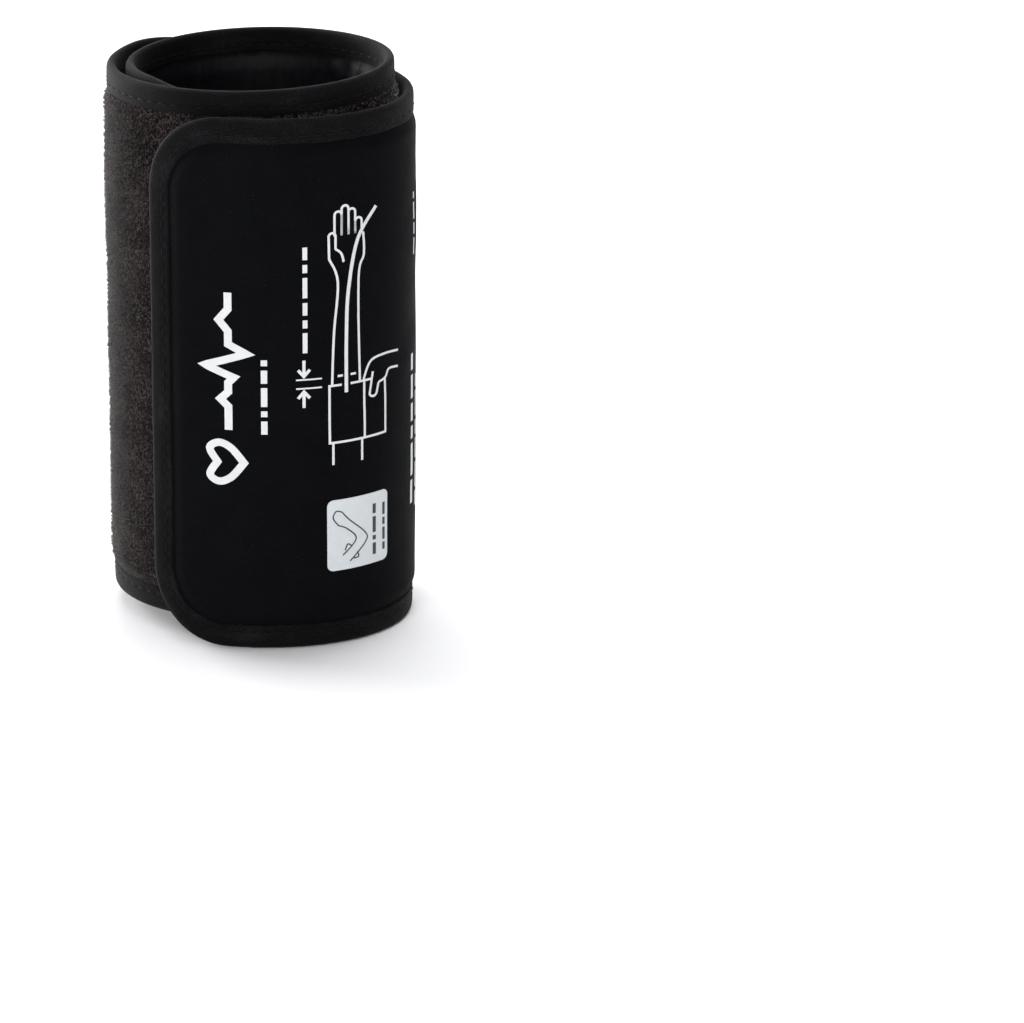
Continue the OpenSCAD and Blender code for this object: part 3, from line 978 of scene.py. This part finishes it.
def dashes(s, start, end, lengths, gap, width):
    """A row of short bars up the strip, standing in for a printed line."""
    row, z, number = [], start, 0
    while z < end:
        length = lengths[number % len(lengths)]
        row.append(([(s, z), (s, min(z + length, end))], width))
        z += length + gap
        number += 1
    return row


# Widths of the printed strokes, in millimetres
BOLD, LINE, FINE = 2.0, 0.62, 0.42


def heart_and_pulse():
    """A heart outline and a pulse trace, reading up the flap."""
    mid = 51.0
    half = curve([(457.2, mid), (460.4, 55.0), (463.6, 56.4), (466.0, 54.6), (464.0, mid)])
    heart = [*half, *((s, 2 * mid - z) for s, z in half[-2::-1])]
    rest = 461.0
    beats = [
        (rest, 60), (rest, 66.5), (463, 68.5), (rest, 70.5), (rest, 73), (459.6, 74.5),
        (467.0, 77.5), (456.4, 81), (rest, 83.5), (rest, 87), (463.4, 90), (rest, 93), (rest, 97.5),
    ]
    return [(heart, BOLD), (beats, BOLD)]


def arm_drawing():
    """An open hand and forearm that come up out of a cuff, with a tube along the arm."""
    elbow, wrist, palm, knuckle = 71.3, 99.5, 106.0, 112.0
    thumb_side = curve([(434.7, elbow), (434.2, 86), (433.2, wrist), (435.5, palm)])
    thumb = [*thumb_side, (435.6, knuckle), *arc(434.7, knuckle, 0.9, 0, 180, 8), (433.8, 108.5)]
    web = curve([(433.8, 108.5), (432.3, 107.2), (431.6, 104.8)])
    far_side = curve([(426.9, elbow), (427.4, wrist), (425.8, palm), (426.0, knuckle)])
    strokes = [(thumb, LINE), (web, LINE), (far_side, LINE)]
    for side, tip in ((433.1, 117.6), (431.2, 119.0), (429.3, 117.9), (427.4, 115.2)):
        finger = [(side + 0.95, knuckle), *arc(side, tip, 0.95, 0, 180, 8), (side - 0.95, knuckle)]
        strokes.append((finger, LINE))
    tube = curve([(421.9, 118.2), (427.6, 110.5), (430.3, 97), (430.8, 84), (430.8, 69)])
    strokes.append((tube, 0.95))
    low, high = 55.6, elbow
    strokes += [
        ([(432.1, high), (435.4, high), (435.4, low), (418.8, low), (418.8, high - 1)], LINE),
        ([(429.6, high), (423.2, high)], LINE),
        ([(425.6, high), (425.6, low)], LINE),
        ([(434.5, low), (434.5, 49.5)], LINE),
        ([(426.4, low), (426.4, 49.5)], LINE),
        ([(433.2, 73.8), (431.8, 73.8)], LINE),
        ([(429.6, 73.8), (428.1, 73.8)], LINE),
    ]
    return strokes


def pulling_hand():
    """The other hand, with finger and thumb on the cuff's tail."""
    back = curve([(413.4, 76.7), (418.5, 77.2), (423.4, 76.4), (425.5, 72.5), (425.6, 71.3)])
    palm = curve([(413.6, 72.3), (417.2, 72.6), (418.6, 70.6), (421.0, 69.8)])
    finger = [(421.0, 69.8), *arc(422.8, 67.6, 1.2, 200, 340, 8), (422.9, 73.2)]
    return [(back, LINE), (palm, LINE), (finger, LINE)]


def gap_marks():
    """Two lines with an arrow on each side, and bars for the figures between them."""
    strokes = [([(444.0, z), (437.4, z)], FINE) for z in (71.3, 73.7)]
    for tip, way in ((74.6, 1), (70.4, -1)):
        strokes.append(([(442.0, tip), (442.0, tip + 4.4 * way)], 0.8))
        head = [(443.5, tip + 1.8 * way), (442.0, tip), (440.5, tip + 1.8 * way)]
        strokes.append((head, 0.8))
    return strokes + dashes(441.7, 81, 110, (5.5, 2.2, 3.4), 1.3, 1.2)


def label_drawing():
    """A bent arm with a band round it, and bars for the figures."""
    outer = curve([(432.2, 36.0), (430.2, 33.6), (425.4, 29.0), (425.4, 26.4), (430.0, 21.9)])
    inner = curve([(433.2, 32.4), (430.6, 31.0), (428.2, 27.8), (432.0, 23.9)])
    fist = curve([(433.2, 32.4), (434.6, 34.6), (433.8, 36.4), (432.2, 36.0)])
    band = [curve([(431.4, 25.2), (430.6, 26.8), (429.4, 26.0)])]
    band.append(curve([(427.9, 24.2), (427.5, 22.8), (428.9, 22.5)]))
    strokes = [(line, 0.34) for line in (outer, inner, fist, *band)]
    strokes += dashes(422.6, 22.2, 36.4, (3.2, 1.2, 4.4), 0.9, 1.0)
    return strokes + dashes(419.4, 22.8, 36.0, (2.0, 3.4), 0.8, 0.8)


def side_lines():
    """Bars for the small print where the flap turns away to the side."""
    strokes = dashes(405.2, 31, 73, (6.5, 9.0, 3.5, 5.0), 1.4, 1.5)
    strokes += dashes(401.0, 29, 66, (4.0, 7.0, 5.5), 1.2, 0.9)
    return strokes + dashes(403.4, 100, 117, (4.5, 3.0), 1.1, 0.7)


FLAP_ART = {
    "heart": heart_and_pulse(),
    "size_line": dashes(452.0, 59, 80.4, (3.6, 1.6, 5.2), 1.2, 1.6),
    "arm": arm_drawing(),
    "hand": pulling_hand(),
    "gap": gap_marks(),
}
for mark, mark_strokes in FLAP_ART.items():
    drawn(f"ink_{mark}", mark_strokes, FLAP_ZONE, INK)
drawn("ink_side", side_lines(), LOWER_FLAP_ZONE, INK)
drawn("ink_label", label_drawing(), FLAP_ZONE, DARK_INK, LABEL_T)


def size_label():
    """The printed patch: a thin light rectangle with rounded corners."""
    (s0, s1), (z0, z1), r = LABEL_S, LABEL_Z, LABEL_CORNER
    turn = np.linspace(0, math.pi / 2, 7)
    ends = r - r * np.cos(turn)
    stops = np.concatenate(
        [s0 + ends[:-1], np.linspace(s0 + r, s1 - r, 17), s1 - ends[-2::-1]]
    )
    from_end = np.minimum(stops - s0, s1 - stops)
    cut = r - np.sqrt(np.maximum(r**2 - np.maximum(r - from_end, 0) ** 2, 0))
    share = np.linspace(0, 1, 21)
    z = (z0 + cut)[:, None] + share * (z1 - z0 - 2 * cut)[:, None]
    s = np.broadcast_to(stops[:, None], z.shape)
    front, front_n = surface(s, z, lambda a, b: cloth_face(a, b) + LABEL_T)
    back, back_n = surface(s, z, lambda a, b: cloth_face(a, b) - LABEL_SUNK)
    uv = np.stack([s, z], -1)
    patch = layer_solid("size_label_skin", front, back, uv, front_n, -back_n, LABEL)
    attach(patch, FLAP_ZONE)
    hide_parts("size_label")


size_label()


# ---- Hook tape inside the flap tip ----

HOOK_S = (8 * PANEL + 3.5, LENGTH - 8.0)
HOOK_Z = (10.0, HEIGHT - 10.0)
# Offsets of the base: its sewn side, and the side that the hooks stand on
HOOK_SEWN = -0.78
HOOK_FACE = -1.15
HOOK_HIGH = 1.1
HOOK_THICK = 0.1
HOOK_PITCH = 1.7
# How far the base and the hooks keep from the strip's outline, and the rows from its ends
BASE_INSET = 8.0
HOOK_INSET = 9.0
ROW_MARGIN = 1.2


def hook_tape():
    """A woven base with rows of small bent hooks."""
    stops = np.linspace(*HOOK_S, 36)
    low = np.maximum(HOOK_Z[0], outline_z(stops, BASE_INSET))
    share = np.linspace(0, 1, 90)
    z = low[:, None] + share * (HEIGHT - 2 * low)[:, None]
    s = np.broadcast_to(stops[:, None], z.shape)
    front, front_n = surface(s, z, lambda a, b: HOOK_SEWN + 0 * a)
    back, back_n = surface(s, z, lambda a, b: HOOK_FACE + 0 * a)
    uv = np.stack([s, z], -1)
    base = layer_solid("hook_base", front, back, uv, front_n, -back_n, HOOK)
    attach(base, FLAP_ZONE)
    rows = np.arange(HOOK_S[0] + ROW_MARGIN, HOOK_S[1] - 1, HOOK_PITCH)
    cols = np.arange(HOOK_Z[0] + ROW_MARGIN, HOOK_Z[1] - 1, HOOK_PITCH)
    hs, hz = (v.ravel() for v in np.meshgrid(rows, cols, indexing="ij"))
    lowest = outline_z(hs, HOOK_INSET)
    inside = (hz > lowest) & (hz < HEIGHT - lowest)
    hs, hz = hs[inside], hz[inside]
    lean = np.where(np.round(hs / HOOK_PITCH) % 2 > 0, 1.0, -1.0)
    # Each hook is a thin stem that rises, then bends over: (lean, rise)
    bend = [(0.0, 0.0), (0.0, 0.62), (0.12, 0.92), (0.34, 1.0), (0.5, 0.82)]
    points = []
    for lean_by, rise in bend:
        for k in range(3):
            a = k * 2 * math.pi / 3
            ps = hs + HOOK_THICK * math.cos(a)
            pz = hz + lean * (lean_by + HOOK_THICK * math.sin(a))
            points.append(place(ps, pz, HOOK_FACE + 0.03 - rise * HOOK_HIGH))
    points = np.stack(points, 1)
    count = len(hs)
    rings = np.array(grid_faces(len(bend), 3, 0, wrap=True))
    faces = (np.arange(count)[:, None, None] * points.shape[1] + rings).reshape(-1, 4)
    tips = np.arange(count)[:, None] * points.shape[1] + [12, 13, 14]
    hooks = mesh_object("hook_rows", points, faces.tolist() + tips.tolist(), HOOK)
    attach(hooks, FLAP_ZONE)
    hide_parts("hook_tape")


hook_tape()


# ---- Floor, light and camera ----

# How far the floor lies under the cuff, in metres, so that the two faces don't flicker
FLOOR_GAP = 0.0002


def floor_and_backdrop():
    """A pale floor that curves up behind the cuff."""
    depth = np.array([-2.5, -1.0, 0.0, 0.8, 1.3, 1.7, 2.0, 2.2, 2.3, 2.3])
    height = np.array([0.0, 0.0, 0.0, 0.0, 0.05, 0.2, 0.5, 0.9, 1.5, 3.0])
    points = [(x, y, z - FLOOR_GAP) for y, z in zip(depth, height) for x in (-3.0, 3.0)]
    faces = grid_faces(len(depth), 2, 0, flip=True)
    m = Shader("floor", (0.86, 0.86, 0.87), 0.7)
    sweep = mesh_object("floor", points, faces, m.material)
    sweep.modifiers.new("round", "SUBSURF").render_levels = 3


def area_light(name, position, target, side, power):
    """A square lamp, side metres across."""
    light = bpy.data.lights.new(name, "AREA")
    light.shape = "RECTANGLE"
    light.size = light.size_y = side
    light.energy = power
    lamp = bpy.data.objects.new(name, light)
    bpy.context.scene.collection.objects.link(lamp)
    aim(lamp, position, target)


def aim(thing, position, target, roll=0.0):
    """Puts a lamp or camera at position, looking at target, turned by roll degrees."""
    back = np.array(position, float) - np.array(target, float)
    back /= np.linalg.norm(back)
    right = np.cross([0, 0, 1], back)
    right /= np.linalg.norm(right)
    up = np.cross(back, right)
    c, s = math.cos(math.radians(roll)), math.sin(math.radians(roll))
    right, up = right * c + up * s, up * c - right * s
    rows = [[right[k], up[k], back[k], position[k]] for k in range(3)] + [[0, 0, 0, 1]]
    thing.matrix_world = Matrix(rows)


def camera():
    """The photograph's view: from the front and a little above, with a long lens."""
    elevation = math.radians(20.0)
    distance = 1.389
    target = np.array([0.0672, 0.0, 0.0261])
    away = np.array([0, -math.cos(elevation), math.sin(elevation)])
    lens = bpy.data.cameras.new("camera")
    lens.sensor_width = 36.0
    lens.lens = 181.0
    view = bpy.data.objects.new("camera", lens)
    bpy.context.scene.collection.objects.link(view)
    aim(view, target + distance * away, target, roll=0.57)
    bpy.context.scene.camera = view


def studio():
    """A pale world and three square lamps: above, behind to the left, and in front."""
    world = bpy.data.worlds.new("studio")
    world.use_nodes = True
    world.node_tree.nodes["Background"].inputs["Color"].default_value = (0.97, 0.98, 1.0, 1)
    world.node_tree.nodes["Background"].inputs["Strength"].default_value = 0.3
    bpy.context.scene.world = world
    middle = (0.0, 0.0, 0.07)
    area_light("top", (0.15, 0.75, 1.75), middle, 2.0, 44)
    area_light("left", (-1.3, 0.95, 0.5), middle, 1.0, 44)
    area_light("front", (-0.4, -1.4, 0.8), middle, 0.8, 13)
    scene = bpy.context.scene
    scene.view_settings.view_transform = "Standard"


floor_and_backdrop()
studio()
camera()
